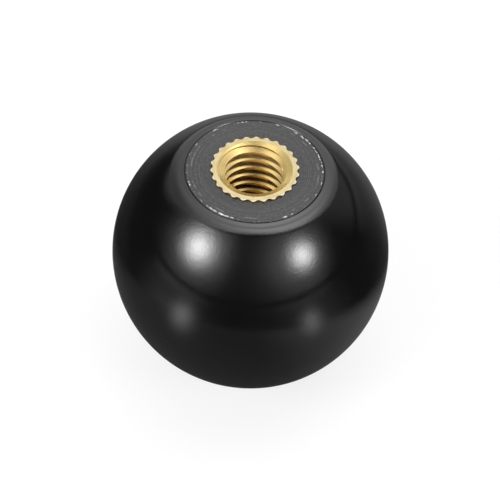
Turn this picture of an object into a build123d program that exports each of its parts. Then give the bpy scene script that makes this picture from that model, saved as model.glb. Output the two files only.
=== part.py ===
from build123d import *

import os
from math import asin, degrees, pi, radians, sqrt, tan

os.makedirs("parts", exist_ok=True)

# A ball knob for the threaded end of a lever: a phenolic ball moulded round a knurled brass insert.
# The origin is the centre of the insert's face. +Z runs along the thread, out of its mouth.
# All sizes are in millimetres.

# The moulded ball
ball_diameter = 32.0
land_diameter = 15.4  # the flat round the insert, out to the mould's parting line
bevel_diameter = 18.2  # where the bevel round the land meets the ball, if that edge were sharp
bevel_angle = 17.0  # how steeply the bevel falls away from the land
shoulder_radius = 1.5  # rounds the bevel off into the ball
parting_width = 0.16  # the fine groove along the parting line
parting_depth = 0.1

# The brass insert
insert_length = 19.0
insert_proud = 0.3  # how far the insert's face stands above the land
knurl_diameter = 9.85  # across the tips of the teeth
knurl_teeth = 26
tooth_depth = 0.26
tooth_land = 0.3  # flat left on each tip
root_width = 0.3  # flat at the bottom of each valley
retention_diameter = 8.4  # groove that the resin fills, so that the insert can't pull out
retention_width = 2.4
pilot_diameter = 8.7  # the buried end is turned down past the knurl's valleys
pilot_length = 0.8

# The tapped hole, M8 with a pitch of 1.25. Its wall stands at the thread's minor diameter.
thread_diameter = 8.0
thread_pitch = 1.25
tapping_depth = 15.5  # from the insert's face to where the drill's point begins
mouth_diameter = 8.35
mouth_angle = 120.0
drill_point_angle = 118.0

# An ISO thread's minor diameter lies inside its major one by 5/8 of its sharp V's height on each side
thread_v_height = thread_pitch * sqrt(3) / 2
minor_diameter = thread_diameter - 2 * 5 / 8 * thread_v_height

# Where the bevel meets the ball, as an angle from the thread's axis at the ball's centre and as a height
# above that centre. From there the bevel rises to the land.
ball_radius = ball_diameter / 2
land_radius = land_diameter / 2
bevel_radius = bevel_diameter / 2
bevel_meeting_angle = degrees(asin(bevel_radius / ball_radius))
bevel_meeting_height = sqrt(ball_radius**2 - bevel_radius**2)
bevel_rise = (bevel_radius - land_radius) * tan(radians(bevel_angle))
land_z = -insert_proud
ball_centre_z = land_z - bevel_rise - bevel_meeting_height

# How far a cutting shape runs past the surface that it cuts
overcut = 0.5


# The insert's blank: knurled bar with its groove and pilot turned, before it is drilled
with BuildPart() as insert_blank:
    tooth_pitch = pi * knurl_diameter / knurl_teeth
    valley_width = tooth_pitch - tooth_land
    valley_flare = (valley_width - root_width) / tooth_depth  # how fast a valley widens outwards
    valley_mouth = valley_width + valley_flare * overcut

    with BuildSketch() as knurl_section:
        Circle(knurl_diameter / 2)
        with PolarLocations(knurl_diameter / 2, knurl_teeth):
            Polygon(
                (-tooth_depth, -root_width / 2),
                (overcut, -valley_mouth / 2),
                (overcut, valley_mouth / 2),
                (-tooth_depth, root_width / 2),
                align=None,
                mode=Mode.SUBTRACT,
            )
    extrude(amount=-insert_length)

    # The retention groove goes round the middle of the insert's length
    with BuildSketch(Plane.XY.offset(-(insert_length - retention_width) / 2)):
        Circle(knurl_diameter / 2 + overcut)
        Circle(retention_diameter / 2, mode=Mode.SUBTRACT)
    extrude(amount=-retention_width, mode=Mode.SUBTRACT)

    # The pilot is the last stretch of the buried end
    with BuildSketch(Plane.XY.offset(pilot_length - insert_length)):
        Circle(knurl_diameter / 2 + overcut)
        Circle(pilot_diameter / 2, mode=Mode.SUBTRACT)
    extrude(amount=-pilot_length, mode=Mode.SUBTRACT)


# The finished insert: the blank with its blind hole drilled and its mouth countersunk
with BuildPart() as threaded_insert:
    add(insert_blank.part)
    CounterSinkHole(
        radius=minor_diameter / 2,
        counter_sink_radius=mouth_diameter / 2,
        depth=tapping_depth,
        counter_sink_angle=mouth_angle,
    )
    drill_point_length = minor_diameter / 2 / tan(radians(drill_point_angle / 2))
    with BuildSketch(Plane.XZ):
        with Locations((0, -tapping_depth)):
            Polygon((0, 0), (0, -drill_point_length), (minor_diameter / 2, 0), align=None)
    revolve(axis=Axis.Z, mode=Mode.SUBTRACT)

threaded_insert.part.label = "threaded_insert"
export_step(threaded_insert.part, "parts/threaded_insert.step")


# The ball: one half of its outline turned about the thread's axis, moulded tight round the blank
with BuildPart() as ball:
    with BuildSketch(Plane.XZ) as ball_section:
        with BuildLine():
            ball_arc = CenterArc((0, ball_centre_z), ball_radius, -90, 180 - bevel_meeting_angle)
            Polyline(ball_arc @ 1, (land_radius, land_z), (0, land_z), ball_arc @ 0)
        make_face()
        bevel_edge = ball_section.vertices().sort_by(Axis.X)[-1]
        fillet(bevel_edge, radius=shoulder_radius)
    revolve(axis=Axis.Z)

    # The parting line is a fine V groove where the bevel meets the land
    with BuildSketch(Plane.XZ):
        with Locations((land_radius, land_z)):
            Polygon(
                (0, -parting_depth),
                (parting_width, parting_depth),
                (-parting_width, parting_depth),
                align=None,
            )
    revolve(axis=Axis.Z, mode=Mode.SUBTRACT)

    # The pocket is the blank itself, so resin fills every knurl valley and the retention groove
    add(insert_blank.part, mode=Mode.SUBTRACT)

ball.part.label = "ball"
export_step(ball.part, "parts/ball.step")
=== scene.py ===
# %% [markdown]
# # Dressing a ball knob
#
# The object is the black ball knob of a machine's lever: a ball moulded in phenolic resin round a knurled
# brass insert with an M8 thread. The CAD model gives both pieces their form and place. This lesson builds
# the two pieces again with all that a close look shows, gives them their finishes, and sets up the studio.
#
# Its origin is the centre of the insert's face, +Z points out of the thread's mouth, and all lengths in
# Blender are metres, so sizes below are written in millimetres times mm.

# %% Load the CAD frame
import math

import bmesh
import bpy
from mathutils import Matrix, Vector, noise


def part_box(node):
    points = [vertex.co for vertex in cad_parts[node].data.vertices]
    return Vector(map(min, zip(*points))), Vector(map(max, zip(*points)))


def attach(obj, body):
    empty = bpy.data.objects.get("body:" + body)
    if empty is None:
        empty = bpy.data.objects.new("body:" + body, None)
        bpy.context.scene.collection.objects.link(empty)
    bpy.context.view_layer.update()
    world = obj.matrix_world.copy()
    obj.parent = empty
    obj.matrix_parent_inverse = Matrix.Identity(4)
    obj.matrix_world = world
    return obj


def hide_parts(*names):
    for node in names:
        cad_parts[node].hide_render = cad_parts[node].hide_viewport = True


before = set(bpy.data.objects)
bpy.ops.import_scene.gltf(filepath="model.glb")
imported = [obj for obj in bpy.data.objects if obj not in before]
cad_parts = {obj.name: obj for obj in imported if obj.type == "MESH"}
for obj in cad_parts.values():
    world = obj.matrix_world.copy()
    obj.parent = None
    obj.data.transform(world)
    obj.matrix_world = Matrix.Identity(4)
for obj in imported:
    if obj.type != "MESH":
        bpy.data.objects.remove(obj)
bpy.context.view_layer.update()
mm = 0.001
print("CAD nodes:", sorted(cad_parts))

# %% [markdown]
# The sizes come from the frame where it holds them. The land is the flat round the insert, and it is the
# ball node's highest level. In the CAD model a bevel of 17 degrees falls from the land to the ball, and the
# place where the two would meet fixes how far the ball's centre lies below the land.

# %% Sizes of the ball
land_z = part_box("ball")[1].z
ball_radius = 16.0 * mm
land_radius = 7.7 * mm
bevel_radius = 9.1 * mm
bevel_angle = math.radians(17)
bevel_rise = (bevel_radius - land_radius) * math.tan(bevel_angle)
ball_centre_z = land_z - bevel_rise - math.sqrt(ball_radius**2 - bevel_radius**2)
floor_z = ball_centre_z - ball_radius
print("ball's centre at z =", round(ball_centre_z / mm, 3), "mm, floor at", round(floor_z / mm, 3), "mm")

# %% [markdown]
# The camera comes first. The photograph was taken from well above the ball with a long lens, so the camera
# stands twelve ball radii away and is rolled by three degrees, which makes the knob lean to the right in the
# picture. It looks at the ball's centre, but for the twentieth of a millimetre that puts the ball where it is
# in the photograph, to half a pixel.

# %% Camera
camera_distance = 192.0 * mm
camera_elevation = math.radians(49.53)
camera_roll = math.radians(3.08)
camera_lens_mm = 118.9
aim_left = 0.058 * mm
aim_up = 0.048 * mm

bpy.ops.object.camera_add()
camera = bpy.context.object
camera.name = "camera"
camera.data.lens = camera_lens_mm
towards_camera = Vector((0, -math.cos(camera_elevation), math.sin(camera_elevation)))
camera_up = Vector((0, math.sin(camera_elevation), math.cos(camera_elevation)))
aim = Vector((-aim_left, 0, ball_centre_z)) + camera_up * aim_up
camera.location = aim + towards_camera * camera_distance
camera.rotation_mode = "ZXY"
camera.rotation_euler = (math.pi / 2 - camera_elevation, 0, camera_roll)
bpy.context.scene.camera = camera
print("camera at", [round(x, 3) for x in camera.location])

# %% [markdown]
# Both pieces were made on machines that turn: the mould's cavity was turned on a lathe, and so was the
# insert. In Blender the same shape comes from half an outline that is spun about the axis. The outline is
# drawn as by hand, from a plane that is merged to one point, by extruding that point from place to place.

# %% Helpers that draw an outline and spin it
double_distance = 0.0005 * mm


def add_primitive(name, add, **settings):
    """Adds a primitive with nothing else selected, and names it."""
    bpy.ops.object.select_all(action="DESELECT")
    add(**settings)
    piece = bpy.context.object
    piece.name = name
    piece.data.name = name
    return piece


def draw_outline(name, points):
    """Draws a line through points, and stays in edit mode with all of it selected."""
    piece = add_primitive(name, bpy.ops.mesh.primitive_plane_add, size=mm)
    bpy.ops.object.mode_set(mode="EDIT")
    bpy.ops.mesh.select_mode(type="VERT")
    bpy.ops.mesh.merge(type="CENTER")
    bpy.ops.transform.translate(value=points[0])
    for here, there in zip(points, points[1:]):
        step = Vector(there) - Vector(here)
        bpy.ops.mesh.extrude_vertices_move(TRANSFORM_OT_translate={"value": step})
    bpy.ops.mesh.select_all(action="SELECT")
    return piece


def close_mesh():
    """Merges doubles and points every face outwards, in edit mode, and leaves edit mode."""
    bpy.ops.mesh.select_all(action="SELECT")
    bpy.ops.mesh.remove_doubles(threshold=double_distance)
    bpy.ops.mesh.normals_make_consistent(inside=False)
    bpy.ops.object.mode_set(mode="OBJECT")


def turn(name, outline, steps):
    """Spins an outline of (radius, height) points once round the Z axis, as a lathe would."""
    piece = draw_outline(name, [(radius, 0, height) for radius, height in outline])
    bpy.ops.mesh.spin(steps=steps, angle=math.tau, center=(0, 0, 0), axis=(0, 0, 1))
    close_mesh()
    return piece


def arc(centre, radius, start, stop, steps):
    """Points of an arc about (radius, height) centre, from one angle to another, ends included."""
    angles = [start + (stop - start) * step / steps for step in range(steps + 1)]
    return [(centre[0] + radius * math.cos(a), centre[1] + radius * math.sin(a)) for a in angles]


# %% [markdown]
# The ball's outline starts at the bottom pole, follows the ball, climbs the ring round the land, dips into
# the fine crevice at the mould's parting line, and goes in along the land to the axis. Polishing has left no
# corner on the ring: its slope grows steadily from the crevice outwards until it is the ball's own. So its
# points are worked out from the slope, and the drop that they add up to is fitted to the ball.

# %% Turn the ball
ball_steps = 360
profile_steps = 120
crevice_half_width = 0.08 * mm
crevice_depth = 0.1 * mm
crevice_shape = [(0.3, -0.85), (-0.1, -1.0), (-1.0, 0.0)]  # in shares of its half width and depth
ring_end_radius = 9.4 * mm
ring_steps = 24
slope_at_crevice = math.radians(11.5)
slope_growth = 1.75
flash_rings = 11
flash_outer = 7.62 * mm
flash_inner = 7.36 * mm
land_rings = (7.1 * mm, 6.4 * mm, 5.6 * mm, 0)

slope_at_ball = math.asin(ring_end_radius / ball_radius)
ball_centre = Vector((0, ball_centre_z))


def ring_points():
    """Points from the ball up to the crevice, with a slope that changes steadily."""
    start_radius = land_radius + crevice_half_width
    start_z = land_z - crevice_half_width * math.tan(slope_at_crevice)
    end_z = ball_centre_z + ball_radius * math.cos(slope_at_ball)
    width = (ring_end_radius - start_radius) / ring_steps
    drops = [0.0]
    for step in range(ring_steps):
        share = (step + 0.5) / ring_steps
        slope = slope_at_crevice + (slope_at_ball - slope_at_crevice) * share**slope_growth
        drops.append(drops[-1] + width * math.tan(slope))
    fit = (start_z - end_z) / drops[-1]
    print("the ring's drop is fitted to the ball by a factor of", round(fit, 4))
    points = [(start_radius + width * step, start_z - fit * drop) for step, drop in enumerate(drops)]
    return points[::-1]


outline = arc(ball_centre, ball_radius, -math.pi / 2, math.pi / 2 - slope_at_ball, profile_steps)
outline += ring_points()[1:]
for across, up in crevice_shape:
    outline.append((land_radius + across * crevice_half_width, land_z + up * crevice_depth))
for ring in range(flash_rings):
    outline.append((flash_outer + (flash_inner - flash_outer) * ring / (flash_rings - 1), land_z))
outline += [(radius, land_z) for radius in land_rings]

moulded_ball = turn("moulded_ball", outline, ball_steps)
print("ball:", len(moulded_ball.data.polygons), "faces")

# %% [markdown]
# The resin crept a little way into the joint of the mould, and left flash: a thin burr just inside the
# parting line, ragged, and strongest at the front left and at the back right. Elsewhere only low patches of
# it are left. A Displace modifier with a cloud texture lifts those rings unevenly, and a vertex group says
# where and how much.

# %% Raise the flash
flash_height = 0.42 * mm
flash_grain = 0.3 * mm
flash_middle = 0.3  # the cloud's brightness that moves nothing
flash_everywhere = 0.8
flash_patches = 13.0  # how many patches a turn holds, more or less
patch_bias = 0.3  # a higher value leaves more of the turn covered
ragged_places = [(math.radians(240), math.radians(20)), (math.radians(34), math.radians(26))]
level_tolerance = 0.01 * mm


def flash_weight(point):
    """How much flash stands at a point of the land, from 0 to 1."""
    radius = math.hypot(point.x, point.y)
    across = (radius - flash_inner) / (flash_outer - flash_inner)
    if abs(point.z - land_z) > level_tolerance or not 0 < across < 1:
        return 0.0
    profile = math.sin(math.pi * across)
    patch = noise.noise(Vector((point.x, point.y, 0)) / radius * flash_patches)
    along = flash_everywhere * min(max(patch_bias + patch, 0.0), 1.0)
    for middle, spread in ragged_places:
        turned = math.remainder(math.atan2(point.y, point.x) - middle, math.tau)
        along = max(along, math.exp(-((turned / spread) ** 4)))
    return profile * along


def weigh(piece, group_name, weight_of):
    """Makes a vertex group whose weights come from each vertex's place."""
    group = piece.vertex_groups.new(name=group_name)
    for vertex in piece.data.vertices:
        weight = weight_of(vertex.co)
        if weight > 0:
            group.add([vertex.index], weight, "REPLACE")


def displace(piece, group_name, grain, height, middle):
    """Lifts a vertex group's points along Z by a cloud texture, and applies the modifier."""
    clouds = bpy.data.textures.new(group_name, "CLOUDS")
    clouds.noise_scale = grain
    clouds.noise_depth = 2
    lift = piece.modifiers.new("lift", "DISPLACE")
    lift.texture = clouds
    lift.texture_coords = "LOCAL"
    lift.direction = "Z"
    lift.vertex_group = group_name
    lift.strength = height
    lift.mid_level = middle
    bpy.context.view_layer.objects.active = piece
    bpy.ops.object.modifier_apply(modifier=lift.name)


weigh(moulded_ball, "flash", flash_weight)
displace(moulded_ball, "flash", flash_grain, flash_height, flash_middle)
flash_top = max(vertex.co.z for vertex in moulded_ball.data.vertices)
print("flash stands", round((flash_top - land_z) / mm, 3), "mm above the land")

# %% [markdown]
# The insert starts as a bar of straight-knurled brass. One tooth of its outline is drawn, and a spin that
# duplicates sets all 26 round the axis. The knurl has a valley on the X axis, as in the CAD model. Filling
# that outline and extruding it down gives the bar. Knurling leaves rounded tips and roots, so all the long
# edges get a bevel, and a finer one breaks the rim of the face, as the lathe's file does.

# %% Knurl the bar
insert_length = 19.0 * mm
knurl_teeth = 26
tip_radius = 4.925 * mm
root_radius = 4.665 * mm
root_half_width = 0.15 * mm
tip_half_width = 0.15 * mm
tooth_rounding = 0.145 * mm
rim_rounding = 0.045 * mm
outline_double_distance = 0.001 * mm


def tooth_points():
    """The points of one tooth's outline, from the valley on the X axis to the next valley."""
    tooth_angle = math.tau / knurl_teeth
    tip_half_angle = tip_half_width / tip_radius
    root_half_angle = root_half_width / root_radius
    places = [
        (root_radius, root_half_angle),
        (tip_radius, tooth_angle / 2 - tip_half_angle),
        (tip_radius, tooth_angle / 2 + tip_half_angle),
        (root_radius, tooth_angle - root_half_angle),
        (root_radius, tooth_angle + root_half_angle),
    ]
    return [(radius * math.cos(angle), radius * math.sin(angle), 0) for radius, angle in places]


def select_edges(piece, wanted):
    """Selects, in edit mode, the edges whose two ends pass the test, and nothing else."""
    bpy.ops.mesh.select_mode(type="EDGE")
    bpy.ops.mesh.select_all(action="DESELECT")
    mesh = bmesh.from_edit_mesh(piece.data)
    for edge in mesh.edges:
        edge.select_set(wanted(edge.verts[0].co, edge.verts[1].co))
    mesh.select_flush_mode()
    bmesh.update_edit_mesh(piece.data)
    return sum(edge.select for edge in mesh.edges)


def is_long_edge(a, b):
    """True for the edges that run along the teeth."""
    return abs(a.z - b.z) > insert_length / 2


def is_face_rim(a, b):
    """True for the edges round the insert's face."""
    return min(a.z, b.z) > -outline_double_distance


insert_blank = draw_outline("insert_blank", tooth_points())
bpy.ops.mesh.spin(steps=knurl_teeth, dupli=True, angle=math.tau, center=(0, 0, 0), axis=(0, 0, 1))
bpy.ops.mesh.select_all(action="SELECT")
bpy.ops.mesh.remove_doubles(threshold=outline_double_distance)
bpy.ops.mesh.select_all(action="SELECT")
bpy.ops.mesh.edge_face_add()
bpy.ops.mesh.extrude_region_move(TRANSFORM_OT_translate={"value": (0, 0, -insert_length)})
bpy.ops.mesh.select_all(action="SELECT")
bpy.ops.mesh.normals_make_consistent(inside=False)
print("long edges:", select_edges(insert_blank, is_long_edge))
bpy.ops.mesh.bevel(offset=tooth_rounding, segments=3, affect="EDGES")
print("rim edges:", select_edges(insert_blank, is_face_rim))
bpy.ops.mesh.bevel(offset=rim_rounding, segments=2, affect="EDGES")
close_mesh()
print("blank:", len(insert_blank.data.polygons), "faces")

# %% [markdown]
# Two grooves are turned across the knurl. The wide one at mid-length fills with resin, so that the insert
# can't pull out, and the pilot at the buried end centres it in the mould. A cutter is a ring with the
# groove's section, taken away by a Boolean modifier, as a tool bit takes it away on the lathe.

# %% Turn the grooves
retention_radius = 4.2 * mm
retention_width = 2.4 * mm
pilot_radius = 4.35 * mm
pilot_length = 0.8 * mm
overcut = 0.5 * mm
groove_steps = 96


def cut_away(piece, cutter):
    """Takes a cutter away from a piece and removes the cutter."""
    cut = piece.modifiers.new("cut", "BOOLEAN")
    cut.operation = "DIFFERENCE"
    cut.solver = "EXACT"
    cut.object = cutter
    bpy.context.view_layer.objects.active = piece
    bpy.ops.object.modifier_apply(modifier=cut.name)
    bpy.data.objects.remove(cutter)


def groove_cutter(name, bottom_radius, upper_z, lower_z):
    """A ring that cuts down to a radius between two heights."""
    outer_radius = tip_radius + overcut
    outline = [(bottom_radius, upper_z), (outer_radius, upper_z), (outer_radius, lower_z)]
    outline += [(bottom_radius, lower_z), (bottom_radius, upper_z)]
    return turn(name, outline, groove_steps)


retention_top_z = -(insert_length - retention_width) / 2
retention_low_z = retention_top_z - retention_width
pilot_top_z = pilot_length - insert_length
for cutter_name, *groove in (
    ("retention_cutter", retention_radius, retention_top_z, retention_low_z),
    ("pilot_cutter", pilot_radius, pilot_top_z, -insert_length - overcut),
):
    cut_away(insert_blank, groove_cutter(cutter_name, *groove))
print("blank with its grooves:", len(insert_blank.data.polygons), "faces")

# %% [markdown]
# The resin was pressed round this blank, so a copy of it cuts the ball's pocket. The two then meet face to
# face in every valley of the knurl and all round the groove, with nothing left between them.

# %% Press the ball round the blank
def copy_of(piece, name):
    """A copy of a piece with a mesh of its own."""
    bpy.ops.object.select_all(action="DESELECT")
    piece.select_set(True)
    bpy.context.view_layer.objects.active = piece
    bpy.ops.object.duplicate(linked=False)
    twin = bpy.context.object
    twin.name = name
    twin.data.name = name
    return twin


cut_away(moulded_ball, copy_of(insert_blank, "pocket_cutter"))
print("ball with its pocket:", len(moulded_ball.data.polygons), "faces")

# %% [markdown]
# The insert is then drilled, countersunk and tapped, in the order of the workshop. The drill is a cylinder
# whose end face is extruded to a point, and the countersink is a cone.

# %% Drill and countersink the insert
brass_insert = insert_blank
brass_insert.name = "brass_insert"
brass_insert.data.name = "brass_insert"
thread_pitch = 1.25 * mm
major_radius = 4.0 * mm
minor_radius = major_radius - 5 / 8 * thread_pitch * math.sqrt(3) / 2
tapping_depth = 15.5 * mm
drill_point_half_angle = math.radians(118 / 2)
mouth_radius = 4.175 * mm
mouth_half_angle = math.radians(120 / 2)
bore_steps = 128
level_slant = 0.99  # the least share of a face's normal along Z for the face to count as level


def is_bottom(face, lowest_z):
    """True for a level face at the lowest height."""
    at_bottom = abs(face.calc_center_median().z - lowest_z) < level_tolerance
    return at_bottom and abs(face.normal.z) > level_slant


drill = add_primitive(
    "drill",
    bpy.ops.mesh.primitive_cylinder_add,
    vertices=bore_steps,
    radius=minor_radius,
    depth=tapping_depth + overcut,
    location=(0, 0, (overcut - tapping_depth) / 2),
)
bpy.ops.object.transform_apply(location=True)
bpy.ops.object.mode_set(mode="EDIT")
bpy.ops.mesh.select_mode(type="FACE")
bpy.ops.mesh.select_all(action="DESELECT")
mesh = bmesh.from_edit_mesh(drill.data)
for face in mesh.faces:
    face.select_set(is_bottom(face, -tapping_depth))
bmesh.update_edit_mesh(drill.data)
point_length = minor_radius / math.tan(drill_point_half_angle)
bpy.ops.mesh.extrude_region_move(TRANSFORM_OT_translate={"value": (0, 0, -point_length)})
bpy.ops.mesh.merge(type="CENTER")
close_mesh()
cut_away(brass_insert, drill)

sink_depth = mouth_radius / math.tan(mouth_half_angle)
sink_height = sink_depth + overcut
countersink = add_primitive(
    "countersink",
    bpy.ops.mesh.primitive_cone_add,
    vertices=bore_steps,
    radius1=0,
    radius2=sink_height * math.tan(mouth_half_angle),
    depth=sink_height,
    location=(0, 0, overcut - sink_height / 2),
)
bpy.ops.object.transform_apply(location=True)
cut_away(brass_insert, countersink)
print("insert, drilled and countersunk:", len(brass_insert.data.polygons), "faces")

# %% [markdown]
# The tap cuts the thread itself. Its tooth has the standard 60-degree section with a narrow flat at the
# tip. The section is drawn once at the bottom of the thread, and a Screw modifier carries it up the helix,
# one pitch for each turn, right-handed. Where it runs out at the mouth it breaks through the countersink,
# as it does in the photograph.

# %% Tap the thread
tap_turns = 13
tap_last_turn_z = -0.13 * mm  # sets where on the mouth the thread runs out
tap_start_z = tap_last_turn_z - (tap_turns - 1) * thread_pitch
tap_inner_radius = minor_radius - 0.17 * mm
tap_flank_slope = math.tan(math.radians(60 / 2))


def tap_section():
    """The section of the tap's tooth at the bottom of the thread, on the -X side."""
    tip_half = thread_pitch / 16
    inner_half = tip_half + (major_radius - tap_inner_radius) * tap_flank_slope
    return [
        (-tap_inner_radius, 0, tap_start_z - inner_half),
        (-major_radius, 0, tap_start_z - tip_half),
        (-major_radius, 0, tap_start_z + tip_half),
        (-tap_inner_radius, 0, tap_start_z + inner_half),
        (-tap_inner_radius, 0, tap_start_z - inner_half),
    ]


tap = draw_outline("tap", tap_section())
bpy.ops.mesh.remove_doubles(threshold=outline_double_distance)
bpy.ops.object.mode_set(mode="OBJECT")
helix = tap.modifiers.new("helix", "SCREW")
helix.axis = "Z"
helix.angle = math.tau
helix.screw_offset = thread_pitch
helix.iterations = tap_turns
helix.steps = bore_steps
helix.render_steps = bore_steps
bpy.ops.object.modifier_apply(modifier=helix.name)
bpy.ops.object.mode_set(mode="EDIT")
bpy.ops.mesh.select_all(action="SELECT")
bpy.ops.mesh.fill_holes(sides=4)
close_mesh()
print("tap:", len(tap.data.polygons), "faces")
cut_away(brass_insert, tap)
print("insert, tapped:", len(brass_insert.data.polygons), "faces")

# %% [markdown]
# Both pieces are closed solids now. Their curved faces are shaded smooth, and every edge sharper than the
# angle below stays crisp: the thread's crests, the knurl, the rim of the mouth and the crevice. A Weighted
# Normal modifier keeps the large flat faces flat up to their rounded rims.

# %% Shade the pieces and put them in the frame
sharp_angle = math.radians(28)


def place_in_frame(piece, node):
    """Shades a finished piece, and lets it ride in the frame in place of its CAD node."""
    bpy.ops.object.select_all(action="DESELECT")
    piece.select_set(True)
    bpy.context.view_layer.objects.active = piece
    bpy.ops.object.shade_smooth_by_angle(angle=sharp_angle)
    level = piece.modifiers.new("level", "WEIGHTED_NORMAL")
    level.keep_sharp = True
    bpy.ops.object.modifier_apply(modifier=level.name)
    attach(piece, "root")
    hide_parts(node)


place_in_frame(moulded_ball, "ball")
place_in_frame(brass_insert, "threaded_insert")
for piece in (moulded_ball, brass_insert):
    mesh = bmesh.new()
    mesh.from_mesh(piece.data)
    open_edges = sum(not edge.is_manifold for edge in mesh.edges)
    print(piece.name, "has", open_edges, "open edges and holds", round(mesh.calc_volume() * 1e6, 3), "cm3")
    mesh.free()

# %% [markdown]
# A finish is a tree of shader nodes. These helpers add a node with its settings and inputs in one call. An
# input is either a plain value or another node's output, which is then linked.

# %% Helpers for node trees
def add_node(tree, kind, inputs, **settings):
    """Adds a node, sets its properties, and sets or links its inputs."""
    made = tree.nodes.new(kind)
    for name, value in settings.items():
        setattr(made, name, value)
    for name, value in inputs.items():
        if isinstance(value, bpy.types.NodeSocket):
            tree.links.new(value, made.inputs[name])
        else:
            made.inputs[name].default_value = value
    return made


def math_of(tree, operation, *values):
    """The output of a Math node."""
    return add_node(tree, "ShaderNodeMath", dict(enumerate(values)), operation=operation).outputs[0]


def vector_of(tree, operation, *values):
    """The vector that a Vector Math node makes."""
    made = add_node(tree, "ShaderNodeVectorMath", dict(enumerate(values)), operation=operation)
    return made.outputs["Vector"]


def measure_of(tree, operation, *values):
    """The number that a Vector Math node measures, such as a length."""
    made = add_node(tree, "ShaderNodeVectorMath", dict(enumerate(values)), operation=operation)
    return made.outputs["Value"]


def chain_of(tree, operation, values):
    """Values joined by one Math operation, two at a time."""
    joined = values[0]
    for value in values[1:]:
        joined = math_of(tree, operation, joined, value)
    return joined


def sum_of(tree, *values):
    """The sum of several values."""
    return chain_of(tree, "ADD", values)


def product_of(tree, *values):
    """The product of several values."""
    return chain_of(tree, "MULTIPLY", values)


def places_of(tree, point):
    """The X, Y and Z of a point."""
    return add_node(tree, "ShaderNodeSeparateXYZ", {0: point}).outputs


def axis_distance(tree, point):
    """How far a point lies from the Z axis."""
    return measure_of(tree, "LENGTH", vector_of(tree, "MULTIPLY", point, (1, 1, 0)))


def start_group(name, inputs, output):
    """A new node group with float or vector inputs and one float output, and its two ends."""
    group = bpy.data.node_groups.new(name, "ShaderNodeTree")
    for socket_name, default in inputs.items():
        kind = "NodeSocketVector" if default is None else "NodeSocketFloat"
        socket = group.interface.new_socket(socket_name, in_out="INPUT", socket_type=kind)
        if default is not None:
            socket.default_value = default
    group.interface.new_socket(output, in_out="OUTPUT", socket_type="NodeSocketFloat")
    starts = group.nodes.new("NodeGroupInput").outputs
    return group, starts, group.nodes.new("NodeGroupOutput").inputs[output]


def use_group(tree, group, **inputs):
    """The output of a node group placed in a tree with its own values."""
    return add_node(tree, "ShaderNodeGroup", inputs, node_tree=group).outputs[0]


# %% [markdown]
# Three effects serve both finishes, so each is a node group. Turning marks are rings at uneven spacing:
# one-dimensional noise that reads the distance from the axis plus the height, so that they run round a
# flat face and round a wall alike. Mottle is soft clouding. Specks are small spots at random places.

# %% Shared effects
wander_scale = 350.0
ring_detail = 3.0
mottle_detail = 4.0
usual_clouding = (0.3, 0.7)  # nearly all values of a mottle lie between these


def make_turning_marks():
    """Rings round the Z axis, as a lathe's tool leaves them."""
    inputs = {"Point": None, "Spacing": 0.1 * mm, "Wander": 0.3}
    group, starts, end = start_group("turning_marks", inputs, "Height")
    point = starts["Point"]
    place = sum_of(group, axis_distance(group, point), places_of(group, point)["Z"])
    stray = add_node(group, "ShaderNodeTexNoise", {"Vector": point, "Scale": wander_scale}).outputs[0]
    along = math_of(group, "DIVIDE", place, starts["Spacing"])
    along = sum_of(group, along, product_of(group, stray, starts["Wander"]))
    ring_inputs = {"W": along, "Scale": 1.0, "Detail": ring_detail}
    rings = add_node(group, "ShaderNodeTexNoise", ring_inputs, noise_dimensions="1D")
    group.links.new(rings.outputs[0], end)
    return group


def counted_in(group, point, size):
    """A point's place counted in steps of a size."""
    steps = math_of(group, "DIVIDE", 1.0, size)
    return add_node(group, "ShaderNodeVectorMath", {0: point, "Scale": steps}, operation="SCALE").outputs[0]


def make_mottle():
    """Soft clouding of a given grain size, centred on a half."""
    group, starts, end = start_group("mottle", {"Point": None, "Grain": mm}, "Shade")
    place = counted_in(group, starts["Point"], starts["Grain"])
    cloud = add_node(group, "ShaderNodeTexNoise", {"Vector": place, "Scale": 1.0, "Detail": mottle_detail})
    group.links.new(cloud.outputs[0], end)
    return group


def make_specks():
    """Small spots at random places: a share of the cells of a Voronoi texture holds one each."""
    group, starts, end = start_group("specks", {"Point": None, "Cell": mm, "Size": 0.1, "Share": 0.2}, "Mask")
    place = counted_in(group, starts["Point"], starts["Cell"])
    cells = add_node(group, "ShaderNodeTexVoronoi", {"Vector": place, "Scale": 1.0})
    near = math_of(group, "LESS_THAN", cells.outputs["Distance"], starts["Size"])
    draw = add_node(group, "ShaderNodeSeparateColor", {0: cells.outputs["Color"]}).outputs[0]
    chosen = math_of(group, "LESS_THAN", draw, starts["Share"])
    group.links.new(product_of(group, near, chosen), end)
    return group


turning_marks = make_turning_marks()
mottle = make_mottle()
specks = make_specks()
print("node groups:", [group.name for group in bpy.data.node_groups])

# %% [markdown]
# The finishes need a few helpers more: soft fades from one value to another, mixes of colours and of
# values, and a new material with its shader. Each finish reads the place on its piece, so that it sits
# where the lathe or the mould left it.

# %% Helpers for finishes
relief_unit = 0.003 * mm  # how high a relief of 1 stands


def weighted_sum(tree, *pairs):
    """The sum of values that each come with a weight."""
    return sum_of(tree, *(product_of(tree, value, weight) for value, weight in pairs))


def gap_of(tree, value, middle):
    """How far a value lies from another, on either side."""
    return math_of(tree, "ABSOLUTE", math_of(tree, "SUBTRACT", value, middle))


def ramp_of(tree, value, from_low, from_high, to_low=0.0, to_high=1.0):
    """The output of a Map Range node with soft ends."""
    names = ("Value", "From Min", "From Max", "To Min", "To Max")
    inputs = dict(zip(names, (value, from_low, from_high, to_low, to_high)))
    return add_node(tree, "ShaderNodeMapRange", inputs, interpolation_type="SMOOTHSTEP").outputs[0]


def mix_of(tree, factor, first, second):
    """The colour between two colours."""
    return add_node(tree, "ShaderNodeMix", {0: factor, 6: first, 7: second}, data_type="RGBA").outputs[2]


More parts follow.
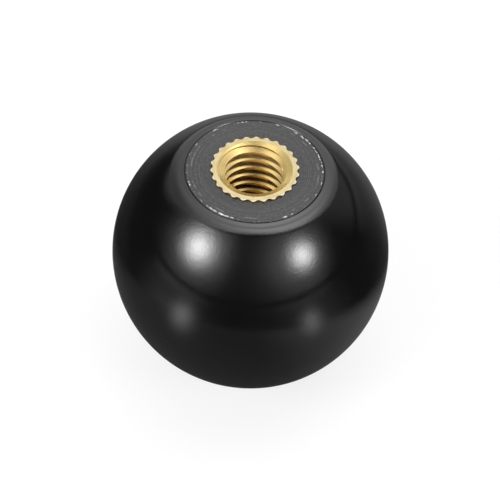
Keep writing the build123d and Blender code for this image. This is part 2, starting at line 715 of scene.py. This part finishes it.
def blend_of(tree, factor, first, second):
    """The value between two values."""
    return add_node(tree, "ShaderNodeMix", {0: factor, 2: first, 3: second}, data_type="FLOAT").outputs[0]


def object_point(tree):
    """The place on the piece, from its Object coordinates."""
    return tree.nodes.new("ShaderNodeTexCoord").outputs["Object"]


def start_material(name):
    """A new material with one Principled BSDF."""
    material = bpy.data.materials.new(name)
    material.use_nodes = True
    tree = material.node_tree
    return material, tree, tree.nodes["Principled BSDF"]


def add_relief(tree, shader, height):
    """Bumps a shader's surface by a height."""
    bump = add_node(tree, "ShaderNodeBump", {"Height": height, "Strength": 1.0, "Distance": relief_unit})
    tree.links.new(bump.outputs[0], shader.inputs["Normal"])


def dress(piece, material):
    """Gives a piece one material."""
    piece.data.materials.clear()
    piece.data.materials.append(material)


# %% [markdown]
# Phenolic resin comes out of a polished mould with a gloss that is nearly black. Its surface has a slight
# orange peel and fine pits, which break the edges of the lamps' reflections. The land was faced off after
# moulding, so it is satin and greyer, with faint rings and a mottled grain. The tops of the flash are painted
# pale grey as painted glints. The joint of the mould left two more traces: a duller stripe round the ring,
# and a faint broken circle rubbed into the land.

# %% Phenolic resin's colours and grain
ball_black = (0.0022, 0.0022, 0.0024, 1)
ball_smoke = (0.0042, 0.0042, 0.0045, 1)
land_dark = (0.002, 0.002, 0.0025, 1)
land_light = (0.042, 0.042, 0.044, 1)
# pale grey painted on the flash's highest tops as painted glints
flash_glint_grey = (0.42, 0.42, 0.42, 1)
rub_grey = (0.1, 0.1, 0.1, 1)
dust_grey = (0.12, 0.12, 0.115, 1)
resin_refraction = 1.6
gloss_roughness = (0.08, 0.13)
land_roughness = (0.34, 0.46)
stripe_roughness = 0.42
stripe_radius = 8.32 * mm
rub_radius = 7.02 * mm
cloud_grain = 3.5 * mm
patch_grain = 1.1 * mm
peel_grain = 0.6 * mm
land_grain = 0.3 * mm
pit_grain = 0.2 * mm
land_ring_spacing = 0.11 * mm
land_ring_wander = 0.8
land_grain_share = 0.4  # the rings make up the rest of the land's shade
land_contrast = (0.49, 0.6)
patch_contrast = (0.5, 0.58)
dust_spots = {"Cell": 1.1 * mm, "Size": 0.05, "Share": 0.1}
dust_strength = 0.5
peel_relief = 2.4
pit_relief = 2.8
land_ring_relief = 13.0
land_grain_relief = 12.0
print("roughness of the gloss:", gloss_roughness, "and of the land:", land_roughness)

# %% [markdown]
# One material covers the whole ball, and masks tell its places apart by their distance from the axis and
# their height. A fade below is two such distances or heights, and often the mask's values at both.

# %% Dress the ball in resin
land_rim_fade = (land_radius - 0.06 * mm, land_radius + 0.02 * mm, 1.0, 0.0)
land_foot_fade = (land_z - 0.25 * mm, land_z - 0.15 * mm)
burr_foot_fade = (land_z + 0.01 * mm, land_z + 0.03 * mm, 1.0, 0.0)
burr_glint_fade = (land_z + 0.03 * mm, land_z + 0.07 * mm, 0.0, 0.9)
rub_fade = (0.03 * mm, 0.1 * mm, 0.8, 0.0)
stripe_fade = (0.06 * mm, 0.26 * mm, 1.0, 0.0)
stripe_foot_fade = (ball_centre_z, ball_centre_z + 2 * mm)


def make_resin():
    """Gloss black resin, satin on the land."""
    material, tree, shader = start_material("phenolic_resin")
    point = object_point(tree)
    height = places_of(tree, point)["Z"]
    radius = axis_distance(tree, point)
    near_axis = ramp_of(tree, radius, *land_rim_fade)
    high_up = ramp_of(tree, height, *land_foot_fade)
    below_burr = ramp_of(tree, height, *burr_foot_fade)
    on_land = product_of(tree, near_axis, high_up, below_burr)
    burr_top_glint = ramp_of(tree, height, *burr_glint_fade)
    rub = ramp_of(tree, gap_of(tree, radius, rub_radius), *rub_fade)
    stripe = ramp_of(tree, gap_of(tree, radius, stripe_radius), *stripe_fade)
    on_stripe = product_of(tree, stripe, ramp_of(tree, height, *stripe_foot_fade))

    clouding, patches, peel, grain, pits = (
        use_group(tree, mottle, Point=point, Grain=size)
        for size in (cloud_grain, patch_grain, peel_grain, land_grain, pit_grain)
    )
    rings = use_group(tree, turning_marks, Point=point, Spacing=land_ring_spacing, Wander=land_ring_wander)
    dust = use_group(tree, specks, Point=point, **dust_spots)

    gloss_colour = mix_of(tree, clouding, ball_black, ball_smoke)
    land_shade = weighted_sum(tree, (grain, land_grain_share), (rings, 1 - land_grain_share))
    land_colour = mix_of(tree, ramp_of(tree, land_shade, *land_contrast), land_dark, land_light)
    rubbed = product_of(tree, rub, ramp_of(tree, patches, *patch_contrast))
    land_colour = mix_of(tree, rubbed, land_colour, rub_grey)
    colour = mix_of(tree, on_land, gloss_colour, land_colour)
    # painted glints: the flash's tops turn pale grey
    colour = mix_of(tree, burr_top_glint, colour, flash_glint_grey)
    colour = mix_of(tree, product_of(tree, dust, dust_strength), colour, dust_grey)
    tree.links.new(colour, shader.inputs["Base Color"])

    on_gloss = ramp_of(tree, clouding, *usual_clouding, *gloss_roughness)
    on_gloss = blend_of(tree, on_stripe, on_gloss, stripe_roughness)
    on_flat = ramp_of(tree, land_shade, *usual_clouding, *land_roughness)
    tree.links.new(blend_of(tree, on_land, on_gloss, on_flat), shader.inputs["Roughness"])

    gloss_relief = weighted_sum(tree, (peel, peel_relief), (pits, pit_relief))
    land_relief = weighted_sum(tree, (rings, land_ring_relief), (grain, land_grain_relief))
    add_relief(tree, shader, blend_of(tree, on_land, gloss_relief, land_relief))
    shader.inputs["IOR"].default_value = resin_refraction
    return material


dress(moulded_ball, make_resin())
print("resin has", len(moulded_ball.active_material.node_tree.nodes), "nodes")

# %% [markdown]
# The insert is free-cutting brass as it left the lathe. Its face is pale gold, with fine turning marks. The
# mouth and the thread are smoother, because a countersink and a tap burnish what they cut, and deeper in
# colour. Light bounces from flank to flank in there and is tinted each time, which turns the thread's depths
# brown. A thin film of cutting oil, as a slightly lower Metallic, keeps them from going black, and deeper in
# the bore a darker brown is painted in as painted shade. The knurl's tips are paler, partly rubbed and partly
# a painted highlight. Masks tell the places apart by their distance from the axis and their height.

# %% Turned brass
brass_pale = (0.54, 0.46, 0.275, 1)
brass_deep = (0.46, 0.37, 0.19, 1)
brass_sunk = (0.72, 0.54, 0.205, 1)
brass_thread = (0.73, 0.54, 0.215, 1)
# dark brown painted deep in the bore as painted shade
brass_depth_shade = (0.4, 0.21, 0.045, 1)
# paler brass on the knurl's tips, partly rubbed and partly a painted highlight
brass_rubbed_and_highlit = (0.62, 0.54, 0.41, 1)
brass_stain = (0.40, 0.24, 0.09, 1)
face_roughness = (0.14, 0.26)
bore_roughness = (0.12, 0.19)
film_fade = (-3.5 * mm, -0.8 * mm, 0.11, 0.25)
depth_shade_fade = (-tapping_depth, -0.5 * mm, 0.9, 0.0)
mouth_fade = (mouth_radius - 0.03 * mm, mouth_radius + 0.01 * mm, 1.0, 0.0)
tip_rub_and_highlight_fade = (root_radius + 0.02 * mm, tip_radius - 0.02 * mm, 0.0, 0.8)
cone_fade = (0.01 * mm, 0.04 * mm)
wear_grain = 1.6 * mm
brass_grain = 0.2 * mm
brass_ring_spacing = 0.09 * mm
brass_ring_wander = 0.3
wear_ring_share = 0.4  # the clouding makes up the rest of the wear
wear_contrast = (0.35, 0.65)
ring_stain_fade = (0.35, 0.5, 0.35, 0.0)
stain_spots = {"Cell": 0.9 * mm, "Size": 0.12, "Share": 0.12}
stain_strength = 0.5
brass_ring_relief = 1.5
brass_grain_relief = 1.0
bore_relief = 0.35  # as a share of the face's relief


def make_brass():
    """Bright turned brass."""
    material, tree, shader = start_material("turned_brass")
    point = object_point(tree)
    height = places_of(tree, point)["Z"]
    radius = axis_distance(tree, point)
    inside = ramp_of(tree, radius, *mouth_fade)
    tips = ramp_of(tree, radius, *tip_rub_and_highlight_fade)
    cone_radius = math_of(tree, "MULTIPLY_ADD", height, math.tan(mouth_half_angle), mouth_radius)
    off_cone = ramp_of(tree, gap_of(tree, radius, cone_radius), *cone_fade)
    deep = ramp_of(tree, height, *depth_shade_fade)

    clouding = use_group(tree, mottle, Point=point, Grain=wear_grain)
    grain = use_group(tree, mottle, Point=point, Grain=brass_grain)
    rings = use_group(tree, turning_marks, Point=point, Spacing=brass_ring_spacing, Wander=brass_ring_wander)
    stains = use_group(tree, specks, Point=point, **stain_spots)
    wear = weighted_sum(tree, (clouding, 1 - wear_ring_share), (rings, wear_ring_share))

    face_colour = mix_of(tree, ramp_of(tree, wear, *wear_contrast), brass_pale, brass_deep)
    # the tips turn paler: partly wear, partly a painted highlight
    face_colour = mix_of(tree, tips, face_colour, brass_rubbed_and_highlit)
    inside_colour = mix_of(tree, off_cone, brass_sunk, brass_thread)
    inside_colour = mix_of(tree, ramp_of(tree, rings, *ring_stain_fade), inside_colour, brass_stain)
    # painted shade: the bore turns darker brown towards its bottom
    inside_colour = mix_of(tree, deep, inside_colour, brass_depth_shade)
    colour = mix_of(tree, inside, face_colour, inside_colour)
    colour = mix_of(tree, product_of(tree, stains, stain_strength), colour, brass_stain)
    tree.links.new(colour, shader.inputs["Base Color"])

    on_face, in_bore = (
        ramp_of(tree, wear, *usual_clouding, *ends) for ends in (face_roughness, bore_roughness)
    )
    tree.links.new(blend_of(tree, inside, on_face, in_bore), shader.inputs["Roughness"])
    film = ramp_of(tree, height, *film_fade)
    metallic = math_of(tree, "SUBTRACT", 1.0, product_of(tree, film, inside))
    tree.links.new(metallic, shader.inputs["Metallic"])

    relief = weighted_sum(tree, (rings, brass_ring_relief), (grain, brass_grain_relief))
    add_relief(tree, shader, product_of(tree, relief, ramp_of(tree, inside, 0.0, 1.0, 1.0, bore_relief)))
    return material


dress(brass_insert, make_brass())
print("brass has", len(brass_insert.active_material.node_tree.nodes), "nodes")

# %% [markdown]
# The studio has a plain white floor that reaches past every view. Light Path turns most of its light into
# plain white for camera, glossy and transmission rays, so that the background is white, and the rest still
# shows the object's shadow.

# %% Floor
floor_reach = 4.0
floor_white = (0.85, 0.85, 0.85, 1)
floor_roughness = 0.6
share_of_plain_white = 0.78


def make_floor_material():
    """A pale floor that is nearly white by itself."""
    material, tree, shader = start_material("floor_white")
    shader.inputs["Base Color"].default_value = floor_white
    shader.inputs["Roughness"].default_value = floor_roughness
    path = tree.nodes.new("ShaderNodeLightPath").outputs
    seen = sum_of(tree, *(path[ray] for ray in ("Is Camera Ray", "Is Glossy Ray", "Is Transmission Ray")))
    share = product_of(tree, seen, share_of_plain_white)
    glow = add_node(tree, "ShaderNodeEmission", {"Strength": 1.0})
    mixed = add_node(tree, "ShaderNodeMixShader", {0: share, 1: shader.outputs[0], 2: glow.outputs[0]})
    tree.links.new(mixed.outputs[0], tree.nodes["Material Output"].inputs["Surface"])
    return material


def add_disc(name, radius, vertices=64, **place):
    """A flat round disc."""
    settings = {"vertices": vertices, "radius": radius, "fill_type": "NGON"}
    return add_primitive(name, bpy.ops.mesh.primitive_circle_add, **settings, **place)


floor = add_disc("floor", floor_reach, location=(0, 0, floor_z))
dress(floor, make_floor_material())

world = bpy.data.worlds.new("sky")
world.use_nodes = True
world.node_tree.nodes["Background"].inputs["Color"].default_value = (1, 1, 1, 1)
bpy.context.scene.world = world
print("floor reaches", floor_reach, "m")

# %% [markdown]
# Round the ball stands a light tent, a dome of cloth that the camera doesn't see. The dome glows by itself:
# brightest on its top behind the ball, and at its sides round each of the two lamps, with a halo and a dim
# column of cloth below, crossed by a seam. Between the two is a dark gap for the camera. All of that depends
# on the direction in which a place of the dome is seen from the ball, so the material works it out from the
# dome's own coordinates: x to the right, z up, and the azimuth counted from the camera's side. The walls are
# a node group, because the dark sheet further down shows them too.

# %% Walls of the light tent
left_halos = [((-53, 36), 0.24, 3.1)]  # a glow is a direction in degrees, a softness and a peak
right_halos = [((52.5, 33.5), 0.24, 1.2), ((52.5, 30), 0.49, 0.25), ((34, 36), 0.24, 0.3)]
back_halos = [((180, 6), 0.3, 0.25)]
left_halo_edge = (-26, -8, 1.0, 0.3)  # an edge is two azimuths and the strengths there
right_halo_edge = (44, 72, 1.0, 0.2)
right_back_edge = (100, 128, 0.0, 0.25)
left_back_edge = (-166, -142, 0.25, 0.0)
right_halo_lean = -0.85
right_back_lean = 0.56
column_halves = (8, 34)  # a column is full this far to each side, and gone at the second angle
left_column = (-54, 0.35)
right_column = (46, 0.14)
column_top = 0.25
seam_height = 0.08
seam_width = 0.045


def towards_of(azimuth, elevation):
    """The unit vector in a direction, with both angles in degrees."""
    azimuth, elevation = math.radians(azimuth), math.radians(elevation)
    level = math.cos(elevation)
    return Vector((math.sin(azimuth) * level, -math.cos(azimuth) * level, math.sin(elevation)))


def glows_of(tree, direction, glows):
    """The sum of soft round spots, each given by its direction, softness and peak."""
    spots = []
    for towards, softness, peak in glows:
        nearness = measure_of(tree, "DOT_PRODUCT", direction, towards_of(*towards))
        fall = math_of(tree, "DIVIDE", math_of(tree, "SUBTRACT", nearness, 1.0), softness**2)
        spots.append(product_of(tree, math_of(tree, "EXPONENT", fall), peak))
    return sum_of(tree, *spots)


def edge_of(tree, azimuth, start, stop, before, after):
    """A strength that changes softly between two azimuths in degrees."""
    return ramp_of(tree, azimuth, math.radians(start), math.radians(stop), before, after)


def column_of(tree, azimuth, place, strength):
    """A dim upright stripe of cloth at an azimuth."""
    aside = gap_of(tree, azimuth, math.radians(place))
    return edge_of(tree, aside, *column_halves, strength, 0.0)


def make_tent_walls():
    """How brightly the tent's walls glow in a direction seen from the ball."""
    group, starts, end = start_group("tent_walls", {"Direction": None}, "Strength")
    direction = starts["Direction"]
    across = places_of(group, direction)
    azimuth = math_of(group, "ARCTAN2", across["X"], product_of(group, across["Y"], -1.0))
    leaning_halo, leaning_back = (
        math_of(group, "MULTIPLY_ADD", across["Z"], lean, azimuth)
        for lean in (right_halo_lean, right_back_lean)
    )
    left_glow, right_glow, back_glow = (
        glows_of(group, direction, halos) for halos in (left_halos, right_halos, back_halos)
    )
    low_down = ramp_of(group, across["Z"], 0.0, column_top, 1.0, 0.0)
    strength = sum_of(
        group,
        product_of(group, left_glow, edge_of(group, azimuth, *left_halo_edge)),
        product_of(group, column_of(group, azimuth, *left_column), low_down),
        product_of(group, right_glow, edge_of(group, leaning_halo, *right_halo_edge)),
        product_of(group, column_of(group, azimuth, *right_column), low_down),
        edge_of(group, leaning_back, *right_back_edge),
        edge_of(group, azimuth, *left_back_edge),
        back_glow,
    )
    seam = ramp_of(group, gap_of(group, across["Z"], seam_height), 0.5 * seam_width, seam_width)
    group.links.new(product_of(group, strength, seam), end)
    return group


tent_walls = make_tent_walls()
print("the tent's walls have", len(tent_walls.nodes), "nodes")

# %% [markdown]
# The top of the tent is a large round of bright cloth. It leans to the left, is brightest high on the right
# behind the ball, and grows dimmer to the sides, towards its foot and towards the camera. It lights the land
# and the face of the brass, and the ring mirrors it. The tent itself stays out of the picture.

# %% Top of the light tent
tent_radius = 0.5
top_tilt = math.radians(35)
top_turn = math.radians(8)  # the top leans to the left, so the dark gap for the camera lies right of it
top_reach = math.radians(49.5)
top_softness = math.radians(3)
top_strength = 0.75
top_widening = 0.8  # the lit top reaches further to the sides than to the front and back
top_side_fade = (0.45, 0.68, 1.0, 0.6)
top_foot_fade = (0.0, 0.35, 0.6, 1.0)
overhead_glow = ((120, 78), 0.35, 2.8)
camera_shade = ((9, 67), 0.165, 1.0)  # dims the top towards the camera
cloth_floor_strength = 0.02


def hide_from_camera(thing):
    """Leaves a thing of the studio out of the picture, but not out of reflections and light."""
    thing.visible_camera = False


def start_glow(name):
    """A new material with an empty tree but for its output."""
    material, tree, shader = start_material(name)
    tree.nodes.remove(shader)
    return material, tree, tree.nodes["Material Output"].inputs["Surface"]


def make_tent_material():
    """White cloth that glows as if lit from outside."""
    material, tree, surface = start_glow("tent_cloth")
    direction = vector_of(tree, "NORMALIZE", object_point(tree))
    squeezed = vector_of(tree, "NORMALIZE", vector_of(tree, "MULTIPLY", direction, (top_widening, 1, 1)))
    top_axis = towards_of(180 + math.degrees(top_turn), 90 - math.degrees(top_tilt))
    nearness = measure_of(tree, "DOT_PRODUCT", squeezed, top_axis)
    rim = math.cos(top_reach + top_softness), math.cos(top_reach - top_softness)
    across = places_of(tree, direction)
    top = product_of(
        tree,
        ramp_of(tree, nearness, *rim, cloth_floor_strength, 1.0),
        sum_of(tree, glows_of(tree, direction, [overhead_glow]), top_strength),
        math_of(tree, "SUBTRACT", 1.0, glows_of(tree, direction, [camera_shade])),
        ramp_of(tree, math_of(tree, "ABSOLUTE", across["X"]), *top_side_fade),
        ramp_of(tree, across["Z"], *top_foot_fade),
    )
    strength = sum_of(tree, top, use_group(tree, tent_walls, Direction=direction))
    glow = add_node(tree, "ShaderNodeEmission", {"Color": strength, "Strength": 1.0})
    tree.links.new(glow.outputs[0], surface)
    return material


tent = add_primitive(
    "light_tent",
    bpy.ops.mesh.primitive_uv_sphere_add,
    segments=64,
    ring_count=32,
    radius=tent_radius,
    location=(0, 0, ball_centre_z),
)
dress(tent, make_tent_material())
hide_from_camera(tent)
print("the tent reaches", tent_radius, "m")

# %% [markdown]
# Gloss black shows its surroundings more than itself. A photographer stands such a ball on a sheet of dark
# glossy plastic and cuts the picture out afterwards. Here that sheet is a disc just above the floor that
# only reflections see, so the lower half of the ball stays black and still carries the lamps' faint images.
# The ball stands on a round of grey card with a soft edge, set off towards the camera and paler at its right.
# The foot of the tent's cloth lies round it, and for each lamp a painted pool of light glows on the sheet.

# %% Dark sheet
sheet_reach = 0.5
sheet_lift = 0.02 * mm
sheet_black = (0.008, 0.008, 0.008, 1)
sheet_refraction = 1.36
sheet_roughness = 0.25
card_grey = (0.06, 0.06, 0.06, 1)
card_light = (0.21, 0.21, 0.21, 1)
card_roughness = 0.6
card_middle = (-5 * mm, -30 * mm, 0)
card_radius = 54 * mm
card_fade = 14 * mm
paler_from_x = 4 * mm
palest_from_x = 34 * mm
cloth_foot = 0.4
# painted pools of light, glowing on the sheet where the lamps would light it
painted_lamp_pools = [((-43, -13.5), 0.085, 1.5), ((43, -12.5), 0.075, 1.3)]


def show_only_in_reflections(thing):
    """Leaves a thing of the studio out of the picture, the shadows and the scattered light."""
    thing.visible_camera = False
    thing.visible_shadow = False
    thing.visible_diffuse = False


def make_sheet_material():
    """Dark glossy plastic, with a round of grey card on it, the cloth's foot round that, and painted pools of
    light.
    """
    material, tree, shader = start_material("sheet_black")
    point = object_point(tree)
    from_card = measure_of(tree, "DISTANCE", point, card_middle)
    off_card = ramp_of(tree, from_card, card_radius - card_fade, card_radius)
    paler = ramp_of(tree, places_of(tree, point)["X"], paler_from_x, palest_from_x)
    card = mix_of(tree, paler, card_grey, card_light)
    tree.links.new(mix_of(tree, off_card, card, sheet_black), shader.inputs["Base Color"])

    direction = vector_of(tree, "NORMALIZE", vector_of(tree, "SUBTRACT", point, (0, 0, ball_radius)))
    walls = use_group(tree, tent_walls, Direction=direction)
    # the lamps' pools of light are painted on as emission
    spots = glows_of(tree, direction, painted_lamp_pools)
    strength = sum_of(tree, product_of(tree, walls, off_card, cloth_foot), spots)
    tree.links.new(strength, shader.inputs["Emission Color"])
    shader.inputs["Emission Strength"].default_value = 1.0
    shader.inputs["IOR"].default_value = sheet_refraction
    roughness = ramp_of(tree, off_card, 0.0, 1.0, card_roughness, sheet_roughness)
    tree.links.new(roughness, shader.inputs["Roughness"])
    return material


sheet = add_disc("dark_sheet", sheet_reach, location=(0, 0, floor_z + sheet_lift))
dress(sheet, make_sheet_material())
show_only_in_reflections(sheet)
print("sheet reaches", sheet_reach, "m, with a card of", round(card_radius / mm), "mm radius")

# %% [markdown]
# Two lamps shine through the walls of the tent, left and right of the camera. Each is a soft spot on a disc
# that is clear towards its rim, so no edge shows in the ball. The left one is larger.

# %% Lamps
lamp_distance = 0.3
lamp_rim = 3  # how many spreads of its light a disc reaches
lamp_strength = 14.6
lamps = {"lamp_left": ((-54.0, 35), 7.2), "lamp_right": ((52.6, 33.6), 5.9)}  # direction and softness


def make_lamp_material(name, spread):
    """Light that fades from the middle of a lamp's disc to its rim."""
    material, tree, surface = start_glow(name)
    share = math_of(tree, "DIVIDE", measure_of(tree, "LENGTH", object_point(tree)), spread)
    falloff = math_of(tree, "EXPONENT", product_of(tree, share, share, -0.5))
    glow = add_node(tree, "ShaderNodeEmission", {"Strength": product_of(tree, falloff, lamp_strength)})
    clear = tree.nodes.new("ShaderNodeBsdfTransparent")
    both = add_node(tree, "ShaderNodeAddShader", {0: glow.outputs[0], 1: clear.outputs[0]})
    tree.links.new(both.outputs[0], surface)
    return material


for name, (towards, softness) in lamps.items():
    away = towards_of(*towards)
    spread = lamp_distance * math.tan(math.radians(softness))
    lamp = add_disc(
        name,
        lamp_rim * spread,
        vertices=48,
        location=Vector((0, 0, ball_centre_z)) + away * lamp_distance,
        rotation=away.to_track_quat("Z", "Y").to_euler(),
    )
    dress(lamp, make_lamp_material(name, spread))
    hide_from_camera(lamp)
    print(name, "is a disc of", round(lamp_rim * spread / mm, 1), "mm radius")

# %% [markdown]
# Colours are shown as they are: view transform Standard, with every other setting left alone.

# %% Finish
bpy.context.scene.view_settings.view_transform = "Standard"
